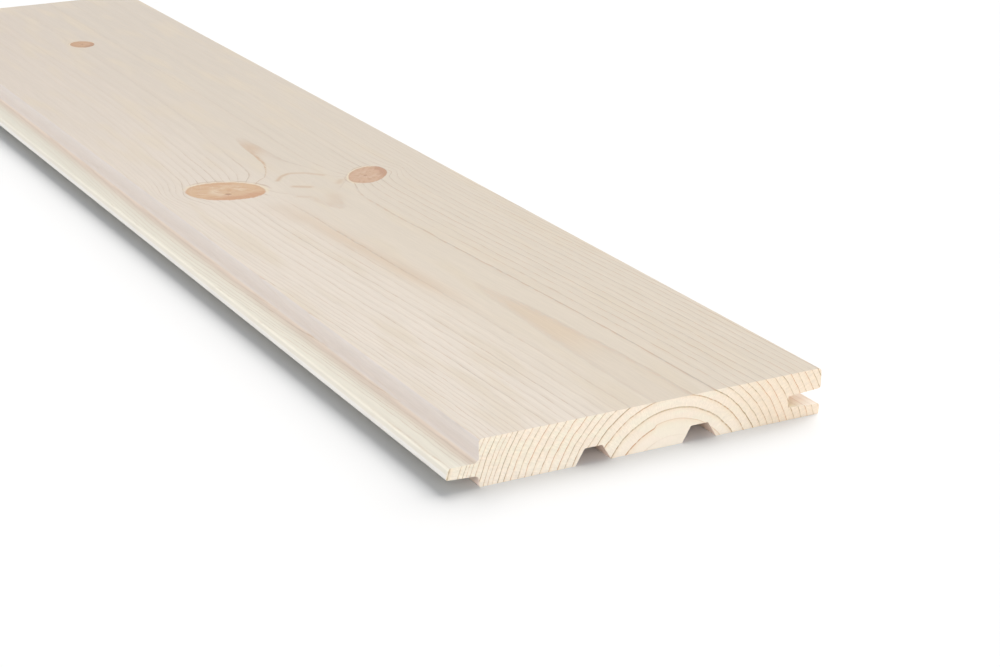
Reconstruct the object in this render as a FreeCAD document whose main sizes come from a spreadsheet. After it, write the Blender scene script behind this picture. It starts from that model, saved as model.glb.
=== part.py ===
import FreeCAD, Part
import os
import Sketcher

# Tongue and groove board: one length of machined softwood, lying with its show face up.
# +Y runs along the grain, -X is the tongue's side, +X the groove's side and +Z is up.
# The origin is under the middle of the board, on the plane of its back.

os.makedirs("parts", exist_ok=True)
doc = FreeCAD.newDocument("TongueAndGrooveBoard")

# Driving dimensions in millimetres
SIZES = [
    ("board_length", 600.0, "length along the grain, saw cut to saw cut"),
    ("board_thickness", 14.0, "back to show face"),
    ("face_width", 111.0, "width that one laid board covers, shoulder to upper lip"),
    ("face_arris", 1.0, "rounding of the two long edges of the show face"),
    ("back_arris", 0.5, "rounding of the two long edges of the back"),
    ("tongue_reach", 10.0, "how far the tongue stands out of its shoulder"),
    ("tongue_top", 7.2, "height of the tongue's flat upper side above the back"),
    ("tongue_root", 3.9, "tongue's thickness at the shoulder"),
    ("tongue_tip", 3.3, "tongue's thickness at its tip, where it enters the groove"),
    ("tip_land", 1.2, "height of the tongue's upright outer side, below its bevel"),
    ("tip_bevel", 1.0, "how far the bevel leans in from there to the tongue's upper side"),
    ("tip_round", 0.6, "rounding of the tongue's outer edges"),
    ("root_round", 1.6, "hollow between the shoulder and the tongue's upper side"),
    ("under_round", 1.2, "hollow between the tongue's underside and the lower shoulder"),
    ("fit_gap", 0.1, "room above and below the tongue's tip in the groove's floor"),
    ("end_gap", 1.2, "room between the tongue's tip and the groove's floor"),
    ("upper_flare", 0.6, "how much the groove's upper wall opens towards its mouth"),
    ("lower_flare", 0.7, "how much the groove's lower wall opens towards its mouth"),
    ("lip_setback", 0.4, "how far the lower lip stops short of the upper lip"),
    ("lower_lip_round", 0.4, "rounding of the lower lip's inner edge"),
    ("floor_round", 0.5, "hollow corners of the groove's floor"),
    ("relief_depth", 4.7, "depth of a relief groove in the back"),
    ("relief_mouth", 11.3, "width of a relief groove at the back's plane"),
    ("relief_floor", 5.6, "width of a relief groove's flat floor"),
    ("relief_first", 35.4, "shoulder to the middle of the first relief groove"),
    ("relief_pitch", 34.4, "middle to middle of the relief grooves"),
    ("relief_round", 0.6, "hollow corners of a relief groove's floor"),
]
RELIEF_GROOVES = 2

# How close a point has to be to count as lying on an edge
ON_EDGE = 0.001

sheet = doc.addObject("Spreadsheet::Sheet", "Sizes")
for row, (alias, value, meaning) in enumerate(SIZES, 1):
    sheet.set(f"A{row}", alias)
    sheet.set(f"B{row}", str(value))
    sheet.setAlias(f"B{row}", alias)
    sheet.set(f"C{row}", meaning)
doc.recompute()

# Places across the board, measured from the middle of its whole width
HALF_WIDTH = "(Sizes.face_width + Sizes.tongue_reach) / 2"
TIP = f"-{HALF_WIDTH}"
BEVEL_END = f"Sizes.tip_bevel - {HALF_WIDTH}"
SHOULDER = f"Sizes.tongue_reach - {HALF_WIDTH}"
UPPER_LIP = HALF_WIDTH
LOWER_LIP = f"{HALF_WIDTH} - Sizes.lip_setback"
GROOVE_FLOOR = f"{HALF_WIDTH} - Sizes.tongue_reach - Sizes.end_gap"
RELIEF_MIDDLE = f"{SHOULDER} + Sizes.relief_first"

# Places above the back
BACK = "0"
FACE = "Sizes.board_thickness"
TONGUE_TOP = "Sizes.tongue_top"
ROOT_BOTTOM = "Sizes.tongue_top - Sizes.tongue_root"
TIP_BOTTOM = "Sizes.tongue_top - Sizes.tongue_tip"
BEVEL_START = f"{TIP_BOTTOM} + Sizes.tip_land"
FLOOR_TOP = f"{TONGUE_TOP} + Sizes.fit_gap"
FLOOR_BOTTOM = f"{TIP_BOTTOM} - Sizes.fit_gap"
MOUTH_TOP = f"{FLOOR_TOP} + Sizes.upper_flare"
MOUTH_BOTTOM = f"{FLOOR_BOTTOM} - Sizes.lower_flare"
RELIEF_TOP = "Sizes.relief_depth"


def measure(text):
    """Works out one place from the sheet, in millimetres."""
    return float(sheet.evalExpression(text))


def place_corner(sketch, direction, axis, side, text):
    """Holds the start of one side at its distance from the sketch's origin."""
    distance = measure(text)
    if text == BACK:
        sketch.addConstraint(Sketcher.Constraint("PointOnObject", side, 1, axis))
        return
    if distance < 0:
        rule = Sketcher.Constraint(direction, side, 1, -1, 1, -distance)
        text = f"-({text})"
    else:
        rule = Sketcher.Constraint(direction, -1, 1, side, 1, distance)
    number = sketch.addConstraint(rule)
    sketch.setExpression(f"Constraints[{number}]", text)


def outline(sketch, corners):
    """Draws a closed outline; each corner is its place across and its height."""
    first = sketch.GeometryCount
    points = [FreeCAD.Vector(measure(across), measure(up), 0) for across, up in corners]
    for start, end in zip(points, points[1:] + points[:1]):
        sketch.addGeometry(Part.LineSegment(start, end), False)
    for index, (across, up) in enumerate(corners):
        side = first + index
        following = first + (index + 1) % len(corners)
        sketch.addConstraint(Sketcher.Constraint("Coincident", side, 2, following, 1))
        place_corner(sketch, "DistanceX", -2, side, across)
        place_corner(sketch, "DistanceY", -1, side, up)


def section_sketch(name, *outlines):
    """Adds a sketch on the plane across the board, with its outlines."""
    sketch = board.newObject("Sketcher::SketchObject", name)
    across_plane = next(item for item in board.Origin.OriginFeatures if item.Role == "XZ_Plane")
    sketch.AttachmentSupport = (across_plane, [""])
    sketch.MapMode = "FlatFace"
    for corners in outlines:
        outline(sketch, corners)
    doc.recompute()
    return sketch


def plane_away(name, *outlines):
    """Cuts outlines away along the whole length, as a moulder's cutter does."""
    before = board.Shape.Volume
    sketch = section_sketch(name + "Section", *outlines)
    cut = board.newObject("PartDesign::Pocket", name)
    cut.Profile = sketch
    cut.SideType = "Symmetric"
    cut.Type = "ThroughAll"
    doc.recompute()
    if cut.Shape.Volume >= before:
        raise RuntimeError(f"{name} takes no wood away")
    return cut


def ease(name, radius, corners):
    """Rounds the long edges that run through the given corners of the section."""
    base = board.Tip
    places = [(measure(across), measure(up)) for across, up in corners]
    chosen = []
    for number, edge in enumerate(base.Shape.Edges, 1):
        for across, up in places:
            ends = [vertex.Point for vertex in edge.Vertexes]
            if all(abs(end.x - across) < ON_EDGE and abs(end.z - up) < ON_EDGE for end in ends):
                chosen.append(f"Edge{number}")
    if len(chosen) != len(corners):
        raise RuntimeError(f"{name} found {len(chosen)} of its {len(corners)} edges")
    fillet = board.newObject("PartDesign::Fillet", name)
    fillet.Base = (base, chosen)
    fillet.setExpression("Radius", radius)
    doc.recompute()


board = doc.addObject("PartDesign::Body", "Board")
board.Label = "board"
board.Placement = FreeCAD.Placement()

# The sawn blank, from the tongue's tip to the upper lip
blank_section = section_sketch(
    "BlankSection",
    [(TIP, BACK), (UPPER_LIP, BACK), (UPPER_LIP, FACE), (TIP, FACE)],
)
blank = board.newObject("PartDesign::Pad", "Blank")
blank.Profile = blank_section
blank.SideType = "Symmetric"
blank.setExpression("Length", "Sizes.board_length")
doc.recompute()

# The tongue stays where wood is cut away above and below it
plane_away(
    "TongueRebates",
    [(TIP, BEVEL_START), (BEVEL_END, TONGUE_TOP), (SHOULDER, TONGUE_TOP), (SHOULDER, FACE), (TIP, FACE)],
    [(TIP, BACK), (SHOULDER, BACK), (SHOULDER, ROOT_BOTTOM), (TIP, TIP_BOTTOM)],
)

# The edge groove takes the next board's tongue, and its lower lip stands back
plane_away(
    "EdgeGroove",
    [
        (UPPER_LIP, BACK),
        (UPPER_LIP, MOUTH_TOP),
        (GROOVE_FLOOR, FLOOR_TOP),
        (GROOVE_FLOOR, FLOOR_BOTTOM),
        (LOWER_LIP, MOUTH_BOTTOM),
        (LOWER_LIP, BACK),
    ],
)

# Relief grooves in the back let the board bend with its wall and keep it from cupping
relief_mouth_left = f"{RELIEF_MIDDLE} - Sizes.relief_mouth / 2"
relief_mouth_right = f"{RELIEF_MIDDLE} + Sizes.relief_mouth / 2"
relief_floor_left = f"{RELIEF_MIDDLE} - Sizes.relief_floor / 2"
relief_floor_right = f"{RELIEF_MIDDLE} + Sizes.relief_floor / 2"
relief = plane_away(
    "ReliefGroove",
    [
        (relief_mouth_left, BACK),
        (relief_floor_left, RELIEF_TOP),
        (relief_floor_right, RELIEF_TOP),
        (relief_mouth_right, BACK),
    ],
)
row = board.newObject("PartDesign::LinearPattern", "ReliefGrooves")
row.Originals = [relief]
row.Direction = (relief.Profile[0], ["H_Axis"])
row.Mode = "Spacing"
row.setExpression("Offset", "Sizes.relief_pitch")
row.Occurrences = RELIEF_GROOVES
board.Tip = row
doc.recompute()

# Eased and hollow corners that the cutters leave
relief_floor_corners = []
for step in range(RELIEF_GROOVES):
    shift = f" + {step} * Sizes.relief_pitch"
    relief_floor_corners.append((relief_floor_left + shift, RELIEF_TOP))
    relief_floor_corners.append((relief_floor_right + shift, RELIEF_TOP))
ease("FaceArrises", "Sizes.face_arris", [(SHOULDER, FACE), (UPPER_LIP, FACE)])
ease("BackArrises", "Sizes.back_arris", [(SHOULDER, BACK), (LOWER_LIP, BACK)])
ease("TongueTip", "Sizes.tip_round", [(BEVEL_END, TONGUE_TOP), (TIP, TIP_BOTTOM)])
ease("TongueRoot", "Sizes.root_round", [(SHOULDER, TONGUE_TOP)])
ease("TongueUnderRoot", "Sizes.under_round", [(SHOULDER, ROOT_BOTTOM)])
# The upper lip's inner edge is rounded so far that it clears the hollow at the tongue's root
ease("UpperLip", "Sizes.root_round - Sizes.upper_flare", [(UPPER_LIP, MOUTH_TOP)])
ease("LowerLip", "Sizes.lower_lip_round", [(LOWER_LIP, MOUTH_BOTTOM)])
ease("GrooveFloor", "Sizes.floor_round", [(GROOVE_FLOOR, FLOOR_TOP), (GROOVE_FLOOR, FLOOR_BOTTOM)])
ease("ReliefFloors", "Sizes.relief_round", relief_floor_corners)

for item in doc.Objects:
    if "Invalid" in item.State or "Error" in item.State:
        raise RuntimeError(f"{item.Name} failed: {item.State}")
if board.Shape.isNull() or not board.Shape.isValid():
    raise RuntimeError("the board's shape is not valid")
board.Shape.exportStep(f"parts/{board.Label}.step")
print("board", board.Shape.BoundBox, "volume", round(board.Shape.Volume), "solids", len(board.Shape.Solids))
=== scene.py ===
# %% [markdown]
# # A tongue and groove board
# This notebook dresses one machined softwood board. The measured solid comes first, because
# every surface that is built here has to lie where that solid says. Lengths are in metres, as
# Blender keeps them, and sizes that a joiner would call out are written in millimetres.

# %% Load the measured board
import math
import random

import bmesh
import bpy
from mathutils import Matrix, Vector


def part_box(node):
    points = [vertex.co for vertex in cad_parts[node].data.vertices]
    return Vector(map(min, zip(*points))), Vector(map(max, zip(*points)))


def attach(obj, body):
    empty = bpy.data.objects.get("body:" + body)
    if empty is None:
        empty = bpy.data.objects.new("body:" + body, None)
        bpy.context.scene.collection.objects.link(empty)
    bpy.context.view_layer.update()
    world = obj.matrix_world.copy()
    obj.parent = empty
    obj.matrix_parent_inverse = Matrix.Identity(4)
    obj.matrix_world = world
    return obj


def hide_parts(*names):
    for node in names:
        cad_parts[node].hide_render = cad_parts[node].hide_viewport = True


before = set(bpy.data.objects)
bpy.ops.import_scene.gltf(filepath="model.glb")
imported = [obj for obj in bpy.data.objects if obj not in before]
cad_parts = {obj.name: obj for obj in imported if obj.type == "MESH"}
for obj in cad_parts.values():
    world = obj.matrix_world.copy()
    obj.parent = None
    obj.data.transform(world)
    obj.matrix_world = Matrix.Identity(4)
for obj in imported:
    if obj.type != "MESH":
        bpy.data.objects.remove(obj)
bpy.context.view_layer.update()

MM = 0.001
LOW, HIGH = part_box("board")
LENGTH = HIGH.y - LOW.y
THICKNESS = HIGH.z - LOW.z
print("board", [round(side / MM, 1) for side in HIGH - LOW], "mm")

# %% [markdown]
# ## The camera
# The photograph is a product shot from beside the tongue, with a long lens. A camera in Blender
# can be turned by eye, but here its place, turn and lens were worked out from the board's own
# edges, so the render can be laid over the photograph. The image is taken as 1000 x 667 pixels.

# %% Place the camera
IMAGE_WIDTH = 1000
SENSOR_WIDTH = 36.0
FOCAL_PIXELS = 2286.1
camera_place = Vector((-306.67, -800.63, 249.99)) * MM
camera_yaw = math.radians(-27.691)
camera_pitch = math.radians(-20.122)
camera_roll = math.radians(-0.299)

lens = bpy.data.cameras.new("camera")
lens.sensor_fit = "HORIZONTAL"
lens.sensor_width = SENSOR_WIDTH
lens.lens = FOCAL_PIXELS / IMAGE_WIDTH * SENSOR_WIDTH
camera = bpy.data.objects.new("camera", lens)
bpy.context.scene.collection.objects.link(camera)
camera.matrix_world = (
    Matrix.Translation(camera_place)
    @ Matrix.Rotation(camera_yaw, 4, "Z")
    @ Matrix.Rotation(math.pi / 2 + camera_pitch, 4, "X")
    @ Matrix.Rotation(camera_roll, 4, "Z")
)
bpy.context.scene.camera = camera
print("lens", round(lens.lens, 1), "mm")

# %% [markdown]
# ## Writing materials as expressions
# A material in Blender is a graph of nodes. Long graphs are hard to read as a list of links, so
# a socket is wrapped in a small class whose arithmetic signs add Math nodes. Then the growth
# rings of the wood can be written down almost as one would write them on paper.

# %% A socket that can be calculated with
class Wire:
    """An output socket; the signs + - * / and ** on it add Math nodes."""

    def __init__(self, finish, socket):
        self.finish = finish
        self.socket = socket

    def calculate(self, operation, first, second=0.0):
        """Adds one Math node."""
        return self.finish.node("Math", {"operation": operation}, {0: first, 1: second})

    def __add__(self, other):
        return self.calculate("ADD", self, other)

    __radd__ = __add__

    def __sub__(self, other):
        return self.calculate("SUBTRACT", self, other)

    def __rsub__(self, other):
        return self.calculate("SUBTRACT", other, self)

    def __mul__(self, other):
        return self.calculate("MULTIPLY", self, other)

    __rmul__ = __mul__

    def __truediv__(self, other):
        return self.calculate("DIVIDE", self, other)

    def __rtruediv__(self, other):
        return self.calculate("DIVIDE", other, self)

    def __pow__(self, other):
        return self.calculate("POWER", self, other)

    def root(self):
        return self.calculate("SQRT", self)

    def floor(self):
        return self.calculate("FLOOR", self)

    def absolute(self):
        return self.calculate("ABSOLUTE", self)

    def cosine(self):
        return self.calculate("COSINE", self)

    def steep(self):
        return self.calculate("TANH", self)

    def exponential(self):
        return self.calculate("EXPONENT", self)

    def at_least(self, lowest):
        return self.calculate("MAXIMUM", self, lowest)

    def at_most(self, highest):
        return self.calculate("MINIMUM", self, highest)

    def bell(self, centre, spread):
        """1 at the centre, falling away on both sides like the outline of a bell."""
        offset = (self - centre) / spread
        return (offset * offset * -0.5).exponential()

    def rises(self, start, end):
        """0 up to start, 1 from end on, and a soft step between them."""
        return self.finish.node(
            "MapRange",
            {"interpolation_type": "SMOOTHSTEP"},
            {"Value": self, "From Min": start, "From Max": end},
        )


# %% A material or a sky that nodes are added to
class Finish:
    """The nodes of one material or world; each comes from the node method."""

    def __init__(self, owner):
        owner.use_nodes = True
        self.owner = owner
        self.tree = owner.node_tree
        self.tree.nodes.clear()

    def node(self, kind, settings=None, sockets=None, out=0):
        """Adds a node: its settings first, then the values or links of its sockets."""
        node = self.tree.nodes.new("ShaderNode" + kind)
        for name, value in (settings or {}).items():
            if name == "points":
                self.draw_curve(node.mapping, value)
            else:
                setattr(node, name, value)
        for name, value in (sockets or {}).items():
            if isinstance(value, Wire):
                self.tree.links.new(value.socket, node.inputs[name])
            else:
                node.inputs[name].default_value = value
        return Wire(self, node.outputs[out]) if node.outputs else None

    def draw_curve(self, mapping, points):
        """Puts a curve through its points, which run from 0 to 1 both ways."""
        curve = mapping.curves[0]
        for place in points[1:-1]:
            curve.points.new(*place)
        curve.points[0].location = points[0]
        curve.points[-1].location = points[-1]
        mapping.update()

    def mix(self, first, second, share):
        """Mixes two colours; share 0 gives the first and 1 the second."""
        settings = {"data_type": "RGBA", "clamp_factor": True}
        return self.node("Mix", settings, {0: share, 6: first, 7: second}, out=2)

    def axes(self, vector):
        """The three numbers of a vector, each as a wire."""
        split = self.node("SeparateXYZ", None, {"Vector": vector}).socket.node
        return [Wire(self, socket) for socket in split.outputs]

    def vector(self, x, y, z):
        """Three wires or numbers joined to a vector."""
        return self.node("CombineXYZ", None, {"X": x, "Y": y, "Z": z})

    def noise(self, place, detail=2.0, roughness=0.5):
        """Cloudy values about a half, one cloud to each unit of place."""
        values = {"Vector": place, "Scale": 1.0, "Detail": detail, "Roughness": roughness}
        return self.node("TexNoise", None, values)


def colour(red, green, blue):
    """A colour as a picture stores it, 0 to 255, turned into the linear values of a socket."""
    linear = []
    for value in (red, green, blue):
        share = value / 255
        linear.append(share / 12.92 if share <= 0.04045 else ((share + 0.055) / 1.055) ** 2.4)
    return (*linear, 1.0)


# %% [markdown]
# ## Floor and light
# The board lies on a seamless white sheet in soft light. One set of lamps could light both, but
# the sheet needs more light than the wood does before it turns white, and the wood would wash
# out in it. So each lamp is linked to what it lights. Two lamps light the sheet, and the
# stronger of them draws the soft shadow beside the tongue. Four lamps light the board, at a
# level at which a colour renders about as it is written, and a faint sky fills the shadows.

# %% Lay the floor
FLOOR_SIDE = 12.0
bpy.ops.object.select_all(action="DESELECT")
bpy.ops.mesh.primitive_plane_add(size=FLOOR_SIDE, location=(0, 0, 0))
floor = bpy.context.active_object
floor.name = "floor"

sheet = Finish(bpy.data.materials.new("white_sheet"))
sheet_surface = sheet.node("BsdfDiffuse", None, {"Color": colour(244, 249, 255)})
sheet.node("OutputMaterial", None, {"Surface": sheet_surface})
floor.data.materials.append(sheet.owner)
print("floor", FLOOR_SIDE, "m across")

# %% Fill the room with a faint sky
SKY_STRENGTH = 0.31

world = bpy.data.worlds.new("room")
bpy.context.scene.world = world
room = Finish(world)
seen_directly = room.node("LightPath", out="Is Camera Ray")
for ray in ("Is Glossy Ray", "Is Transmission Ray"):
    seen_directly = seen_directly.at_least(room.node("LightPath", out=ray))
sky = SKY_STRENGTH + (1 - SKY_STRENGTH) * seen_directly
background = room.node("Background", None, {"Color": colour(255, 255, 255), "Strength": sky})
room.node("OutputWorld", None, {"Surface": background})
print("sky strength", SKY_STRENGTH)

# %% Say what each kind of lamp lights
lit_by = {}
for target, state in (("sheet", "INCLUDE"), ("board", "EXCLUDE")):
    lit_by[target] = bpy.data.collections.new(target + "_lamps_light")
    lit_by[target].objects.link(floor)
    lit_by[target].collection_objects[0].light_linking.link_state = state
print("lamps light the", " or the ".join(lit_by))

# %% [markdown]
# Each lamp is a sun with a wide spread, which is the angle that a soft box fills. Its share is
# the part of the plain level that it gives to a level surface. The sheet is faintly blue, so
# that its shadow stays a neutral grey beside the warm wood, and its lamps are as faintly warm,
# so that it is white where they reach.

# %% Hang the lamps
LAMP_TINT = {"sheet": (1.0, 0.93, 0.853), "board": (1.0, 1.0, 1.0)}
LAMPS = {
    "sheet_lamp": {"from": (0.89, 0.54, 1.0), "share": 0.75, "spread": 60, "lights": "sheet"},
    "sheet_fill": {"from": (-0.30, -0.85, 0.32), "share": 0.075, "spread": 45, "lights": "sheet"},
    "key_lamp": {"from": (0.72, 0.50, 1.0), "share": 0.21, "spread": 60, "lights": "board"},
    "front_fill": {"from": (-0.30, -0.85, 0.30), "share": 0.045, "spread": 40, "lights": "board"},
    "side_fill": {"from": (-0.75, -0.33, 0.60), "share": 0.30, "spread": 40, "lights": "board"},
    "right_fill": {"from": (0.80, -0.60, 0.30), "share": 0.065, "spread": 30, "lights": "board"},
}

for name, lamp in LAMPS.items():
    light = bpy.data.lights.new(name, "SUN")
    direction = Vector(lamp["from"]).normalized()
    light.energy = lamp["share"] * math.pi / direction.z
    light.angle = math.radians(lamp["spread"])
    light.color = LAMP_TINT[lamp["lights"]]
    stand = bpy.data.objects.new(name, light)
    bpy.context.scene.collection.objects.link(stand)
    stand.rotation_euler = direction.to_track_quat("Z", "Y").to_euler()
    stand.light_linking.receiver_collection = lit_by[lamp["lights"]]
    print(name, round(light.energy, 2))

bpy.context.scene.view_settings.view_transform = "Standard"

# %% [markdown]
# ## The board's shape
# A moulder makes the board by planing a sawn blank with cutters that run its whole length. The
# mesh is made the same way round: the blank's end is a plane, each cutter is a bisect that
# clears waste away, and the finished section is extruded along the grain. A block cut with
# booleans would also do, but its faces would come out in slivers.

# %% The cutters' sizes, in millimetres
TONGUE_REACH = 10.0
TONGUE_TOP = 7.2
TONGUE_ROOT = 3.9
TONGUE_TIP = 3.3
TIP_LAND = 1.2
TIP_BEVEL = 1.0
FIT_GAP = 0.1
END_GAP = 1.2
UPPER_FLARE = 0.6
LOWER_FLARE = 0.7
LIP_SETBACK = 0.4
RELIEF_DEPTH = 4.7
RELIEF_MOUTH = 11.3
RELIEF_FLOOR = 5.6
RELIEF_FIRST = 35.4
RELIEF_PITCH = 34.4

tip_x = LOW.x / MM
lip_x = HIGH.x / MM
face_z = HIGH.z / MM
shoulder_x = tip_x + TONGUE_REACH
groove_x = lip_x - TONGUE_REACH - END_GAP
root_z = TONGUE_TOP - TONGUE_ROOT
tip_z = TONGUE_TOP - TONGUE_TIP
floor_top_z = TONGUE_TOP + FIT_GAP
floor_bottom_z = tip_z - FIT_GAP
mouth_top_z = floor_top_z + UPPER_FLARE
mouth_bottom_z = floor_bottom_z - LOWER_FLARE
print("covering width", round(lip_x - shoulder_x, 1), "mm")

# %% [markdown]
# On the section a cutter's path is a straight line. So one helper makes every pass: it cuts the
# faces along that line and, where the pass takes wood away, deletes those to the line's left.
# It only touches faces between two places across the board, so a pass leaves no stray edges.


# %% Helpers for the cutter passes
def choose(elements, wanted):
    """Selects the mesh elements for which wanted says yes, and no others."""
    bpy.ops.mesh.select_all(action="DESELECT")
    mesh = bmesh.from_edit_mesh(bpy.context.edit_object.data)
    chosen = [element for element in getattr(mesh, elements) if wanted(element)]
    for element in chosen:
        element.select_set(True)
    mesh.select_flush_mode()
    bmesh.update_edit_mesh(bpy.context.edit_object.data)


def between(low, high):
    """Says yes to faces whose middle lies between two places across the board."""
    return lambda face: low * MM < face.calc_center_median().x < high * MM


def cut(low, high, start, end, waste=False):
    """Cuts what lies between low and high along a line of the section.

    With waste, it then throws away the part to the left of that line.
    """
    run = Vector((end[0] - start[0], 0, end[1] - start[1])).normalized()
    point = Vector((start[0] * MM, LOW.y, start[1] * MM))
    normal = Vector((-run.z, 0, run.x))
    choose("faces", between(low, high))
    bpy.ops.mesh.bisect(plane_co=point, plane_no=normal, threshold=1e-7)
    if waste:
        inside = between(low, high)
        choose("faces", lambda face: inside(face)
               and (face.calc_center_median() - point).dot(normal) > 0)
        bpy.ops.mesh.delete(type="FACE")


# %% [markdown]
# The tongue is what two rebates leave at the board's left edge. Its top is level, its underside
# slopes up towards the tip, and a bevel helps it into the next board's groove. It could be
# extruded out of the edge, but then each slope is a separate move of its corners.

# %% Start from the blank's end and cut the tongue
bpy.ops.object.select_all(action="DESELECT")
blank_middle = ((LOW.x + HIGH.x) / 2, LOW.y, (LOW.z + HIGH.z) / 2)
bpy.ops.mesh.primitive_plane_add(size=1, location=blank_middle, rotation=(math.pi / 2, 0, 0))
board = bpy.context.active_object
board.name = "planed_board"
board.scale = (HIGH.x - LOW.x, THICKNESS, 1)
bpy.ops.object.transform_apply(location=True, rotation=True, scale=True)
bpy.ops.object.mode_set(mode="EDIT")
bpy.ops.mesh.select_mode(type="FACE")

cut(tip_x, lip_x, (shoulder_x, 0), (shoulder_x, face_z))
cut(tip_x, shoulder_x, (tip_x, TONGUE_TOP), (shoulder_x, TONGUE_TOP), waste=True)
cut(tip_x, shoulder_x, (tip_x, tip_z + TIP_LAND), (tip_x + TIP_BEVEL, TONGUE_TOP), waste=True)
cut(tip_x, shoulder_x, (shoulder_x, root_z), (tip_x, tip_z), waste=True)
print("tongue from", round(tip_x, 1), "to", round(shoulder_x, 1), "mm")

# %% [markdown]
# The groove takes the next board's tongue with a little room around it. Its mouth flares, and
# its lower lip is a little shorter than the upper one, so that two boards close on the face
# first. The cuts are made across the whole edge, and then the faces between them are deleted.

# %% Cut the groove, and shorten its lower lip
cut(shoulder_x, lip_x, (groove_x, 0), (groove_x, face_z))
cut(groove_x, lip_x, (groove_x, floor_top_z), (lip_x, mouth_top_z))
cut(groove_x, lip_x, (groove_x, floor_bottom_z), (lip_x - LIP_SETBACK, mouth_bottom_z))
slot_z = (floor_top_z + floor_bottom_z) / 2 * MM
in_groove = between(groove_x, lip_x)
choose("faces", lambda face: in_groove(face) and abs(face.calc_center_median().z - slot_z) < MM)
bpy.ops.mesh.delete(type="FACE")
choose("faces", lambda face: in_groove(face) and face.calc_center_median().z < slot_z)
setback_x = lip_x - LIP_SETBACK
bpy.ops.mesh.bisect(plane_co=(setback_x * MM, LOW.y, 0), plane_no=(1, 0, 0), threshold=1e-7)
choose("faces", lambda face: face.calc_center_median().x > setback_x * MM
       and face.calc_center_median().z < slot_z)
bpy.ops.mesh.delete(type="FACE")
print("groove from", round(groove_x, 1), "to", round(lip_x, 1), "mm")

# %% [markdown]
# Two shallow grooves run along the back. They let air pass behind the boards and ease the
# tension that makes a wide board cup. Their sides slope, so each takes two cuts for its flanks
# and one for its floor, which takes the waste away.

# %% Cut the two relief grooves in the back
for index in range(2):
    middle = shoulder_x + RELIEF_FIRST + index * RELIEF_PITCH
    low_x, high_x = middle - RELIEF_MOUTH / 2, middle + RELIEF_MOUTH / 2
    cut(shoulder_x, groove_x, (low_x, 0), (middle - RELIEF_FLOOR / 2, RELIEF_DEPTH))
    cut(shoulder_x, groove_x, (high_x, 0), (middle + RELIEF_FLOOR / 2, RELIEF_DEPTH))
    cut(low_x, high_x, (high_x, RELIEF_DEPTH), (low_x, RELIEF_DEPTH), waste=True)

bpy.ops.mesh.select_all(action="SELECT")
bpy.ops.mesh.dissolve_limited(angle_limit=math.radians(0.5))
bpy.ops.object.mode_set(mode="OBJECT")
print("section corners", len(board.data.vertices))

# %% [markdown]
# The section is now flat and whole. Extruded along the grain, it becomes a solid whose long
# faces are single pieces without a seam, as a planed board's are.

# %% Give the section its length
bpy.ops.object.mode_set(mode="EDIT")
bpy.ops.mesh.select_all(action="SELECT")
bpy.ops.mesh.extrude_region_move(TRANSFORM_OT_translate={"value": (0, LENGTH, 0)})
bpy.ops.mesh.select_all(action="SELECT")
bpy.ops.mesh.normals_make_consistent(inside=False)
bpy.ops.object.mode_set(mode="OBJECT")
print("board", [round(side / MM, 2) for side in board.dimensions], "mm")

# %% [markdown]
# ## Rounded arrises and hollows
# No cutter leaves a knife edge. The two arrises of the face are eased by a millimetre, the
# tongue's tip is rounded so that it starts easily, and the cutters' own corners leave hollows.
# Each rounding is one long bevel, which is set back further along the faces where they meet at
# a sharper turn, so that its radius comes out as written.

# %% The roundings, in millimetres
ROUNDINGS = [
    (shoulder_x, face_z, 1.0),
    (lip_x, face_z, 1.0),
    (lip_x, mouth_top_z, 1.0),
    (shoulder_x, 0, 0.5),
    (setback_x, 0, 0.5),
    (setback_x, mouth_bottom_z, 0.4),
    (tip_x + TIP_BEVEL, TONGUE_TOP, 0.6),
    (tip_x, tip_z + TIP_LAND, 0.6),
    (tip_x, tip_z, 0.6),
    (shoulder_x, TONGUE_TOP, 1.6),
    (shoulder_x, root_z, 1.2),
    (groove_x, floor_top_z, 0.5),
    (groove_x, floor_bottom_z, 0.5),
]
for index in range(2):
    middle = shoulder_x + RELIEF_FIRST + index * RELIEF_PITCH
    ROUNDINGS.append((middle - RELIEF_FLOOR / 2, RELIEF_DEPTH, 0.6))
    ROUNDINGS.append((middle + RELIEF_FLOOR / 2, RELIEF_DEPTH, 0.6))
print("roundings to make", len(ROUNDINGS))


# %% Round them
def ease(x, z, radius, segments=6):
    """Rounds the long edge at one place of the section."""
    corner = Vector((x * MM, z * MM))

    def is_here(edge):
        places = [Vector((end.co.x, end.co.z)) for end in edge.verts]
        return all((place - corner).length < 0.02 * MM for place in places)

    choose("edges", is_here)
    mesh = bmesh.from_edit_mesh(bpy.context.edit_object.data)
    turn = next(edge.calc_face_angle() for edge in mesh.edges if edge.select)
    setback = radius * MM * math.tan(turn / 2)
    bpy.ops.mesh.bevel(offset_type="OFFSET", offset=setback, segments=segments, profile=0.5)


bpy.ops.object.mode_set(mode="EDIT")
bpy.ops.mesh.select_mode(type="EDGE")
for x, z, radius in ROUNDINGS:
    ease(x, z, radius)
bpy.ops.object.mode_set(mode="OBJECT")
bpy.ops.object.shade_smooth_by_angle(angle=math.radians(30))
print("roundings", len(ROUNDINGS), "faces", len(board.data.polygons))

# %% [markdown]
# ## The wood
# The board was sawn close to the pith of a small tree, so its end shows the growth rings as
# arcs and its face shows the same rings as long lines. A pattern that is drawn on the face
# alone never meets the arcs at the edge. This one is solid: every point is given its distance
# from the pith, that distance is turned into a count of rings, and colour follows the count.
# Places in the wood are in millimetres, as on the drawing of the board.

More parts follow.
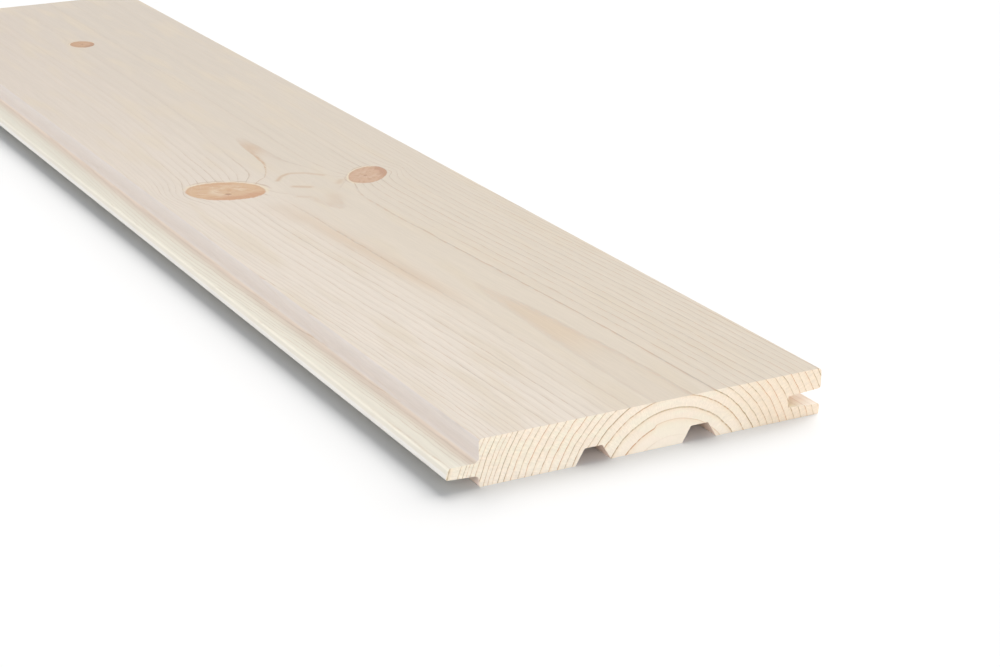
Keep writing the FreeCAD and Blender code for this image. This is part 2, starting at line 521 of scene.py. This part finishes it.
# %% Read each point's place and which way the surface faces
wood = Finish(bpy.data.materials.new("planed_softwood"))
wood_place = wood.node("TexCoord", out="Object")
x, y, z = [axis / MM for axis in wood.axes(wood_place)]
surface_normal = wood.axes(wood.node("TexCoord", out="Normal"))
end_grain = surface_normal[1].absolute().rises(0.6, 0.8)
side_grain = surface_normal[0].absolute().rises(0.5, 0.9)
print("material", wood.owner.name)

# %% Let the pith wander under the face
PITH_X = 9.6
PITH_SWAY = 6.2
PITH_DEPTH = 27.55
PITH_TILT = 1.05

pith_x = PITH_X - PITH_SWAY * y.bell(-75, 78) + 0.9 * y.rises(-180, -300)
pith_depth = PITH_DEPTH + PITH_TILT * ((y + 20) / 90).steep()
print("pith", PITH_DEPTH, "mm under the face")

# %% [markdown]
# A tree doesn't grow in perfect circles. Small shifts sideways, made before the distance is
# taken, let the lines waver without making them ragged. At the board's left side the rings
# lean, and over the near half of its face they are a little flatter than a circle, so a long
# flame opens towards the end.

# %% Measure each point's distance from the pith
LEFT_LEAN = 0.095
CROWN_RISE = 0.62
CROWN_DIP = 0.25

ripple = wood.noise(wood.vector(x / 4, y / 13, z / 14), detail=1.0)
jitter = wood.noise(wood.vector(x / 1.1, y / 7, z / 6))
lean = LEFT_LEAN * (z - face_z) * x.rises(-15, -35)
flame_shift = 1.5 * x.bell(6, 8) * y.bell(-36, 17)
across = x - pith_x - lean - flame_shift + 0.9 * (ripple - 0.5) + 0.35 * (jitter - 0.5)
above = z - face_z + pith_depth
radius = (across * across + above * above).root()
rise = CROWN_RISE * y.rises(-275, -165) * (1 - y.rises(-90, 10)) - CROWN_DIP * y.rises(-240, -300)
crown = rise * across.bell(0, 8)
print("rings lean by", LEFT_LEAN, "and rise by", CROWN_RISE, "mm")

# %% [markdown]
# Three branches grew out of the stem, and each left a knot. A branch starts at the pith and
# gets wider outwards, and the rings around it bulge, so the lines bend round the knot and a
# small flame stands between the two large ones. Each knot is worked out along its own cone.

# %% A knot, in millimetres on the face
class Knot:
    """One branch, cut through by the face; its numbers hold at the face."""

    def __init__(self, centre, half_width, half_length, tilt, heart, bulge, reach):
        slant = (z - face_z + pith_depth) / pith_depth
        along = (y - centre[1] - 6 * (1 - slant)) / slant
        sideways = (x - pith_x - (centre[0] - pith_x) * slant) / slant
        cosine = math.cos(math.radians(tilt))
        sine = math.sin(math.radians(tilt))
        self.wide = (sideways * cosine + along * sine) / half_width
        self.long = (along * cosine - sideways * sine) / half_length
        self.rim = (self.wide * self.wide + self.long * self.long).root()
        self.beside = self.wide - heart[0]
        self.beyond = self.long - heart[1]
        self.core = (self.beside * self.beside + self.beyond * self.beyond).root()
        outside = (self.rim - 1).at_least(0)
        self.near = (outside * (half_width / reach)).bell(0, 1)
        level = sideways / half_width
        flank = level * level / (level * level + (along / half_length) ** 2 + 0.01)
        self.bulge = bulge * self.near * (0.12 + 0.88 * flank)


# %% The three knots, and the rise between the large two
left_knot = Knot((-24.85, -50.25), 15.05, 11.56, -34, heart=(0.12, -0.32), bulge=4.2, reach=7.5)
right_knot = Knot((29.5, -55.3), 11.8, 7.07, 51.6, heart=(-0.1, 0.1), bulge=4.2, reach=7.0)
far_knot = Knot((4.1, 203.6), 5.5, 6.8, 0, heart=(0.0, 0.0), bulge=2.0, reach=3.5)

ridge = 0.84 * across.bell(0, 9) * y.rises(-105, -70) * (1 - y.rises(12, 50))
saddle = ridge + 3.9 * x.bell(7, 8.5) * y.bell(-48, 10)
swelling = saddle + left_knot.bulge + right_knot.bulge + far_knot.bulge
print("knots", 3)

# %% [markdown]
# The rings aren't evenly wide: the tree grew fast when it was young. So a curve turns the
# distance from the pith into a count of rings, through the rings that can be told apart on the
# end. Wherever the stem swelled round a branch, a ring lies further out than usual, and the
# swelling is taken off the distance before the count.

# %% Count the rings
RING_RADII = {
    -1: 11.5, 0: 15.5, 1: 19.7, 2: 23.7, 3: 27.2, 4: 30.0, 6: 34.4, 8: 38.4, 10: 43.2,
    12: 47.6, 14: 51.8, 16: 55.7, 19: 60.0, 22: 64.8, 25: 68.4, 26: 71.9, 27: 75.5,
}
INNER = min(RING_RADII.values())
OUTER = max(RING_RADII.values())
FIRST = min(RING_RADII)
LAST = max(RING_RADII)
growth_curve = [
    ((millimetres - INNER) / (OUTER - INNER), (count - FIRST) / (LAST - FIRST))
    for count, millimetres in RING_RADII.items()
]

slow_drift = wood.noise(wood.vector(x / 16, y / 120, z / 16))
small_drift = wood.noise(wood.vector(x / 3.5, y / 40, z / 9))
broken_arc = 0.8 * x.rises(4.2, 5.4) * radius.bell(19.7, 1.2)
grown = radius + crown - swelling - broken_arc
grown = grown + 0.5 * (slow_drift - 0.5) + 0.3 * (small_drift - 0.5)
growth_share = (grown - INNER) / (OUTER - INNER)
count_share = wood.node("FloatCurve", {"points": growth_curve}, {"Value": growth_share})
ring_count = count_share * (LAST - FIRST) + FIRST
ring = ring_count.floor()
season = ring_count - ring
print("rings", LAST - FIRST, "between", INNER, "and", OUTER, "mm from the pith")

# %% [markdown]
# A ring starts in spring with pale, soft wood. It gets darker towards autumn, slowly at first,
# and then stops dead where the next spring begins. Some years leave a stronger line than
# others, and here every fourth ring does. Each ring's own chance value is taken from its number.
# One ring closes round the flame between the knots, finer and darker on its left than its right.

# %% Spring wood and autumn wood
FLAME_RING = 2

chance = wood.node("TexWhiteNoise", {"noise_dimensions": "1D"}, {"W": ring + 7.3}, out="Value")
strong_year = ((ring + 1) * (math.pi / 2)).cosine().at_least(0)
year_ends = 1 - season.rises(0.975, 1.0)
round_flame = 1 - (ring - FLAME_RING).absolute().at_most(1)
flame_left = round_flame * x.rises(7, 3) * x.rises(-14, -10) * y.bell(-22, 18)
flame_right = round_flame * x.rises(7, 9) * x.rises(18, 15) * y.bell(-24, 12)
late_wood = season.rises(0.80 + 0.08 * chance + 0.05 * flame_left, 0.965) * year_ends
summer_wood = season.rises(0.5, 0.95) * year_ends
print("the flame's ring is number", FLAME_RING)

# %% Break the lines up along the grain
patchy = wood.noise(wood.vector(x / 5, y / 55, z / 5), detail=1.0)
broken = wood.noise(wood.vector(x / 0.8, y / 4, z / 1.6), detail=1.0)
near_flame = x.bell(10, 6) * y.rises(-140, -180)
gaps = broken.rises(0.3, 0.7) * (1 - near_flame) + 0.5 * near_flame
line_strength = 0.30 + 0.42 * strong_year + 0.30 * chance
lines = late_wood * line_strength * (0.2 + 0.7 * patchy + gaps)
print("nodes so far", len(wood.tree.nodes))

# %% [markdown]
# Between the lines, planed wood shows fine fibres along the grain, and its end shows rays that
# run out from the pith. A picture of wood could show both, but it would stretch where the
# surface turns. So each is a noise, drawn out along the grain or outwards from the pith.

# %% Fibres, and the end's rays
fibres = wood.noise(wood.vector(across / 0.7, y / 16, z / 0.7), detail=3.0, roughness=0.6)
bundles = wood.noise(wood.vector(x / 2.2, y / 50, z / 2.2), detail=1.0)
tint = wood.noise(wood.vector(x / 8, y / 45, z / 3), detail=1.0)
angle = wood.node("Math", {"operation": "ARCTAN2"}, {0: above, 1: across})
rays = wood.noise(wood.vector(angle * 110, radius * 0.35, y / 3), detail=2.0)
print("nodes so far", len(wood.tree.nodes))

# %% [markdown]
# On this board the lines are clearest at the near end and round the knots, and they fade in a
# few patches. Each patch is a soft zone on the face, and a list says how much it adds to the
# lines or takes away from them. A mask painted by hand would do the same, but a named zone can
# still be read and changed alone.

# %% Zones of the face
beside_knots = left_knot.near.at_least(right_knot.near)
near_right = x.rises(10, 26) * y.rises(-60, -220)
middle_right = x.rises(10, 26) * y.bell(-90, 45)
strong_left = x.bell(-16, 6) * y.bell(-120, 25)
over_left_knot = x.bell(-20, 10) * y.bell(-18, 15)
under_arch = x.bell(5, 9) * y.bell(-46, 6)
between_knots = x.bell(5, 10) * y.rises(-47.5, -51) * y.rises(-84, -70)
under_left_knot = y.rises(-61, -64) * y.rises(-76, -71) * x.rises(-6, -12)
blank_strip = x.bell(-15.5, 3.2) * y.rises(-60, -66) * y.rises(-140, -115)
calm_middle = x.bell(1, 10) * y.rises(-150, -190)
far_edges = y.rises(-15, 30) * x.absolute().rises(24, 34)
inside_groove = x.rises(48.9, 49.2) * x.rises(60.6, 60.4) * z.rises(2.6, 2.9) * z.rises(8.4, 8.1)
print("nodes so far", len(wood.tree.nodes))

# %% How clear the lines are
CLEARER = (
    (0.6, y.rises(60, -300)),
    (0.9, beside_knots),
    (0.95, near_right),
    (0.6, middle_right),
    (0.9, flame_left),
    (0.5, flame_right),
    (1.1, strong_left),
    (0.8, over_left_knot),
)
FAINTER = (
    (0.95, under_arch),
    (0.9, between_knots),
    (0.85, under_left_knot),
    (0.75, blank_strip),
    (0.55, calm_middle),
    (0.75, far_edges),
    (0.8, side_grain),
    (0.9, inside_groove),
)
face_gain = 0.24
for strength, zone in CLEARER:
    face_gain = face_gain + strength * zone
for strength, zone in FAINTER:
    face_gain = face_gain * (1 - strength * zone)

innermost = grown.rises(16.5, 17.5)
faint_arc = x.rises(4.5, 5.5) * (1 - grown.rises(20.6, 21.4))
end_gain = 1.9 * (0.1 + 0.9 * innermost) * (1 - 0.7 * faint_arc)
print("zones", len(CLEARER) + len(FAINTER))


# %% [markdown]
# Some tan marks run at a slant to the rings, and no zone can draw them. Each is a streak: a soft
# line between two places on the face, made from how far a point lies along it and beside it.


# %% A streak of tan grain along a short line
def streak(start, end, width, soft=None):
    """1 along a line on the face, fading over its width and at its two ends."""
    soft = soft or 1.5 * width
    run = Vector(end) - Vector(start)
    middle = (Vector(start) + Vector(end)) / 2
    unit = run.normalized()
    forward = (x - middle.x) * unit.x + (y - middle.y) * unit.y
    aside = (y - middle.y) * unit.x - (x - middle.x) * unit.y
    fade = forward.absolute().rises(run.length / 2 + soft, run.length / 2 - soft)
    return aside.bell(0, width) * fade


# %% [markdown]
# Planed softwood is a pale pinkish cream. It is yellower in clouds, paler at the near end, and a
# tan band runs down from the left knot. The paleness at the near end is partly the wood's own
# tone and partly painted light that falls off along the board. The tongue is cream, with painted
# shade at its root by the shoulder, and the shoulder is painted a cooler, greyer pink, as a side
# in shade. The wall under the tongue and the insides of the grooves are painted pale, as painted
# light where shade falls, and painted orange shade lies under the groove's roof near the end.

# %% Spring wood on the face
far_spring = wood.mix(colour(216, 203, 190), colour(214, 202, 188), x.rises(-30, 30))
near_spring = wood.mix(colour(236, 224, 210), colour(225, 212, 194), x.rises(-30, 10))
tan_band = streak((-12.5, -95), (-4.5, -195), 2.8, soft=25)
# Paler towards the near end: partly the wood's own tone, partly painted light that falls off
# along the board.
face_spring = wood.mix(far_spring, near_spring, y.rises(320, -320))
face_spring = wood.mix(face_spring, colour(224, 209, 187), tint.rises(0.48, 0.72) * 0.5)
face_spring = wood.mix(face_spring, colour(218, 196, 172), tan_band * 0.7)
print("nodes so far", len(wood.tree.nodes))

# %% Spring wood on the tongue and its shoulder, with painted shade and light
on_shoulder = side_grain * x.rises(-51.5, -51.3)
on_tongue = x.rises(-50.2, -51.2) * (1 - on_shoulder)
# Painted shade: the tongue's top darkens at its root, in the corner by the shoulder.
root_painted_shade = x.rises(-56.2, -51.5) * z.rises(9.5, 7.5)
at_tip = x.rises(-59.7, -60.0)
# Darker away from the near end: partly the wood's own tone, partly painted light falling off
# along the board.
tongue_spring = wood.mix(colour(242, 236, 221), colour(232, 227, 213), y.rises(-200, 140))
tongue_spring = wood.mix(tongue_spring, colour(229, 214, 199), root_painted_shade)
tongue_spring = wood.mix(tongue_spring, colour(218, 213, 200), at_tip * 0.7)
tongue_spring = wood.mix(tongue_spring, colour(234, 231, 225), x.rises(-60.15, -60.4))
# Painted shade and light: the shoulder is painted a cooler, greyer pink as a side in shade, and
# below the tongue the wall is painted pale where shade falls.
shoulder_painted_shade_and_light = wood.mix(colour(219, 210, 204), colour(252, 232, 218), z.rises(4.0, 3.0))
face_spring = wood.mix(face_spring, tongue_spring, on_tongue)
face_spring = wood.mix(face_spring, shoulder_painted_shade_and_light, on_shoulder)
print("nodes so far", len(wood.tree.nodes))

# %% Painted light and shade inside the grooves
# Painted light: the relief grooves' wood is painted paler and pinker where shade falls in them.
relief_painted_light = x.rises(-22, -21) * x.rises(26, 25) * z.rises(5.0, 4.9) * z.rises(0.1, 0.4)
# Painted light and shade: the groove's inside is painted pale where shade falls, with painted
# orange shade under its roof near the end.
roof_painted_shade = y.rises(-299.5, -294) * z.rises(6.0, 7.2)
groove_painted_light_and_shade = wood.mix(colour(255, 246, 224), colour(255, 246, 232), x.rises(50.5, 56))
groove_painted_light_and_shade = wood.mix(groove_painted_light_and_shade, colour(240, 190, 150), roof_painted_shade * 0.8)
face_spring = wood.mix(face_spring, groove_painted_light_and_shade, inside_groove)
face_spring = wood.mix(face_spring, colour(254, 230, 212), relief_painted_light)
print("nodes so far", len(wood.tree.nodes))

# %% Spring wood on the end
end_spring = wood.mix(colour(241, 231, 212), colour(243, 229, 211), tint.rises(0.4, 0.6))
end_spring = wood.mix(end_spring, colour(240, 221, 198), x.rises(15, 45) * 0.7)
end_spring = wood.mix(end_spring, colour(254, 243, 228), z.rises(7, 1) * x.rises(45, 25) * 0.6)
spring = wood.mix(face_spring, end_spring, end_grain)
print("nodes so far", len(wood.tree.nodes))

# %% [markdown]
# Before a year's line comes summer wood, which is a faint tan. It shows most where the face
# cuts a ring at a slant, so it fills the tops of both flames.

# %% Add the summer wood's tan
flame_top = x.bell(5.5, 3.8) * y.bell(0, 8)
flame_foot = x.bell(6, 8) * y.bell(-30, 14)
inside_near_flame = (1 - ring_count.rises(2.9, 3.0)) * x.rises(0, 4)
near_flame_top = inside_near_flame * y.rises(-268, -235) * y.rises(-170, -190)
tan_share = summer_wood * (1 - side_grain) * (0.15 + 0.25 * chance + 0.5 * flame_top)
tan_share = tan_share * (1 - under_arch) * (1 - 0.8 * flame_foot) * (1 - 0.4 * between_knots)
summer_tan = wood.mix(colour(216, 200, 182), colour(208, 178, 148), flame_top)
end_tan_share = summer_wood * end_grain * innermost * 0.4
spring = wood.mix(spring, colour(220, 191, 154), near_flame_top * (1 - end_grain) * 0.5)
spring = wood.mix(spring, summer_tan, tan_share * (1 - end_grain))
spring = wood.mix(spring, colour(238, 214, 184), end_tan_share)
print("nodes so far", len(wood.tree.nodes))

# %% [markdown]
# Now the autumn lines go over the spring wood. On the face they are a greyed tan. On the end,
# where the fibres are cut across, they are darker, and resin turns some of them orange.

# %% Draw the year's lines over it
line_tint = wood.mix(colour(190, 176, 160), colour(204, 177, 152), broken.rises(0.4, 0.6))
face_autumn = wood.mix(line_tint, colour(194, 178, 162), y.rises(-120, 100))
face_autumn = wood.mix(face_autumn, colour(200, 162, 124), flame_left)
orange_share = (chance * 0.9 + broken.rises(0.3, 0.7) * 0.4 - 0.42).at_least(0).at_most(1)
end_autumn = wood.mix(colour(176, 156, 120), colour(218, 162, 116), orange_share)
autumn = wood.mix(face_autumn, end_autumn, end_grain)
line_share = lines * (face_gain * (1 - end_grain) + end_gain * end_grain)
wood_shade = wood.mix(spring, autumn, line_share.at_most(1))
print("nodes so far", len(wood.tree.nodes))

# %% [markdown]
# Each fibre catches the light a little differently, and the end's rays leave fine speckles. Both
# only make the wood lighter or darker, so they go in as a value that keeps the hue.

# %% Let the fibres lighten and darken it
ray_speckle = 0.26 * (rays - 0.5) + 0.22 * (fibres - 0.5)
end_speckle = ray_speckle * end_grain * (0.3 + 0.7 * grown.rises(19, 25))
streakiness = (0.10 + 0.10 * y.rises(0, -250)) * (fibres - 0.5) + 0.08 * (bundles - 0.5)
fibre_lightness = 1 + streakiness * (1 - end_grain) + end_speckle
wood_shade = wood.node("HueSaturation", None, {"Value": fibre_lightness, "Color": wood_shade})
print("nodes so far", len(wood.tree.nodes))

# %% [markdown]
# Between the knots the face just grazes a few rings, so pieces of them show as short flecks,
# and one shows as an arch. Their true shapes would need the swelling to a tenth of a
# millimetre, so they are laid down as streaks: where each starts and ends on the face, half its
# width and its strength.

# %% Lay the flecks and the arch between the knots
FLECKS = (
    ((-1.5, -56.0), (5.0, -60.5), 0.9, 0.8),
    ((-5.0, -68.5), (-0.5, -72.0), 0.8, 0.4),
    ((0.0, -72.5), (0.0, -78.0), 0.8, 0.25),
    ((14.8, -61.0), (18.8, -56.0), 1.0, 0.5),
    ((2.5, -86.0), (8.5, -72.0), 2.2, 0.25),
    ((-15.5, -74.0), (-13.5, -98.0), 4.0, 0.2),
)
ARCH = (
    ((-3.6, -47.5), (0.2, -42.2), 0.6, 0.85),
    ((0.2, -42.2), (4.3, -39.8), 0.6, 0.95),
    ((4.3, -39.8), (10.0, -42.2), 0.7, 0.75),
    ((10.0, -42.2), (15.2, -48.5), 0.7, 0.65),
)
for start, end, width, strength in FLECKS + ARCH:
    fleck = streak(start, end, width) * strength * (1 - end_grain)
    wood_shade = wood.mix(wood_shade, colour(207, 180, 152), fleck)
print("streaks", len(FLECKS + ARCH))

# %% [markdown]
# A knot has rings and rays of its own round a small dark heart. Resin and denser wood make it
# orange brown, darker at its edge and along one side. Beyond its rim lies a pale halo of sloping
# grain, and outside that a thin line of bark. An ellipse with a noise on it could stand for a
# knot, but here it has the cone's own coordinates, so it also reads right on a cut or an edge.


# %% One knot's colours
def knot_shade(knot, outer, pale, heart, edge):
    """A knot's own rings and rays, with a pale middle and a small dark heart."""
    turn = wood.node("Math", {"operation": "ARCTAN2"}, {0: knot.beyond, 1: knot.beside})
    streaks = wood.noise(wood.vector(turn * 4, knot.core * 3, z / 8), detail=3.0)
    clouds = wood.noise(wood.vector(knot.wide * 2.6, knot.long * 4, z / 8), detail=3.0)
    shaded_side = (knot.wide * 0.75 - knot.long * 0.75 + clouds - 0.5).rises(0.35, 0.8)
    middle = 1 - knot.rim.rises(0.35, 0.85)
    shade = wood.mix(outer, pale, clouds.rises(0.45, 0.62) * middle * 0.8)
    shade = wood.mix(shade, edge, shaded_side)
    shade = wood.mix(shade, edge, knot.rim.rises(0.86, 1.0) * 0.6)
    shade = wood.mix(shade, edge, streaks.rises(0.45, 0.7) * 0.55)
    return wood.mix(shade, heart, (1 - knot.core.rises(0.03, 0.12)) * 0.9)


# %% Set the knots into the wood
KNOT_COLOURS = {
    left_knot: [(213, 178, 142), (226, 204, 178), (172, 128, 98), (203, 157, 122)],
    right_knot: [(206, 170, 141), (212, 182, 156), (180, 138, 112), (188, 145, 116)],
    far_knot: [(196, 156, 122), (200, 162, 130), (170, 130, 100), (180, 138, 108)],
}
for knot, paints in KNOT_COLOURS.items():
    outer, pale, heart, edge = [colour(*paint) for paint in paints]
    ragged = knot.rim + 0.1 * (small_drift - 0.5) + 0.1 * (jitter - 0.5)
    inside = 1 - ragged.rises(0.94, 1.0)
    far_side = knot.long.rises(-0.25, 0.35)
    halo = ragged.rises(0.95, 1.0) * (1 - ragged.rises(1.02, 1.09)) * far_side
    bark = ragged.rises(1.06, 1.11) * (1 - ragged.rises(1.12, 1.18)) * knot.long.rises(0.3, 0.8)
    wood_shade = wood.mix(wood_shade, colour(234, 217, 186), halo * 0.7)
    wood_shade = wood.mix(wood_shade, colour(196, 168, 142), bark * patchy.rises(0.3, 0.55) * 0.7)
    wood_shade = wood.mix(wood_shade, knot_shade(knot, outer, pale, heart, edge), inside)
print("knots coloured", len(KNOT_COLOURS))

# %% [markdown]
# Planed wood is matt, with a slight sheen on the dense autumn lines, which also stand a little
# proud of the soft spring wood. A bump of about a tenth of a millimetre gives that relief.

# %% Finish the surface
relief = fibres * 0.25 + jitter * 0.2 + late_wood * 0.55
bump = wood.node("Bump", None, {"Strength": 0.35, "Distance": 0.0003, "Height": relief})
roughness = 0.55 - 0.1 * late_wood
finished = {"Base Color": wood_shade, "Roughness": roughness, "Normal": bump}
softwood = wood.node("BsdfPrincipled", None, finished)
wood.node("OutputMaterial", None, {"Surface": softwood})
board.data.materials.append(wood.owner)
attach(board, "root")
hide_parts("board")
print("nodes", len(wood.tree.nodes))

# %% [markdown]
# ## Fibres torn by the saw
# The saw left a few short fibres hanging from the groove's upper edge at the near end. They are
# real shapes, because they show against the dark of the groove. Each is a small four-sided spike
# that starts in the wood, and its tip is pushed aside and back, as a torn fibre curls.

# %% Hang the fibres in the groove's mouth
FIBRE_COUNT = 7
FIBRE_FIRST = 0.45
FIBRE_PITCH = 0.62
FIBRE_WIDTH = 0.42
FIBRE_LENGTH = 0.5
FIBRE_ROOT = 0.15

chances = random.Random(4)
bpy.ops.object.select_all(action="DESELECT")
for index in range(FIBRE_COUNT):
    reach = FIBRE_LENGTH * chances.uniform(0.6, 1.1)
    place_x = groove_x + FIBRE_FIRST + FIBRE_PITCH * (index + chances.uniform(-0.15, 0.15))
    edge_z = floor_top_z + UPPER_FLARE * (place_x - groove_x) / (lip_x - groove_x)
    middle_z = edge_z + (FIBRE_ROOT - reach) / 2
    settings = {
        "vertices": 4,
        "radius1": FIBRE_WIDTH * chances.uniform(0.4, 0.6) * MM,
        "radius2": 0.03 * MM,
        "depth": (reach + FIBRE_ROOT) * MM,
        "location": (place_x * MM, LOW.y + 0.3 * MM, middle_z * MM),
        "rotation": (math.pi, 0, 0),
    }
    bpy.ops.mesh.primitive_cone_add(**settings)
    if index == 0:
        torn = bpy.context.active_object
        torn.name = "torn_fibres"
        bpy.ops.object.transform_apply(location=True, rotation=True, scale=True)
        bpy.ops.object.mode_set(mode="EDIT")
        bpy.ops.mesh.select_mode(type="VERT")
    choose("verts", lambda vertex: abs(vertex.co.x - place_x * MM) < 0.1 * MM
           and vertex.co.z < middle_z * MM)
    aside = chances.uniform(-0.1, 0.1) * MM
    back = chances.uniform(0, 0.2) * MM
    bpy.ops.transform.translate(value=(aside, back, 0))
bpy.ops.object.mode_set(mode="OBJECT")
torn.data.materials.append(wood.owner)
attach(torn, "root")
print("torn fibres", FIBRE_COUNT, "faces", len(torn.data.polygons))
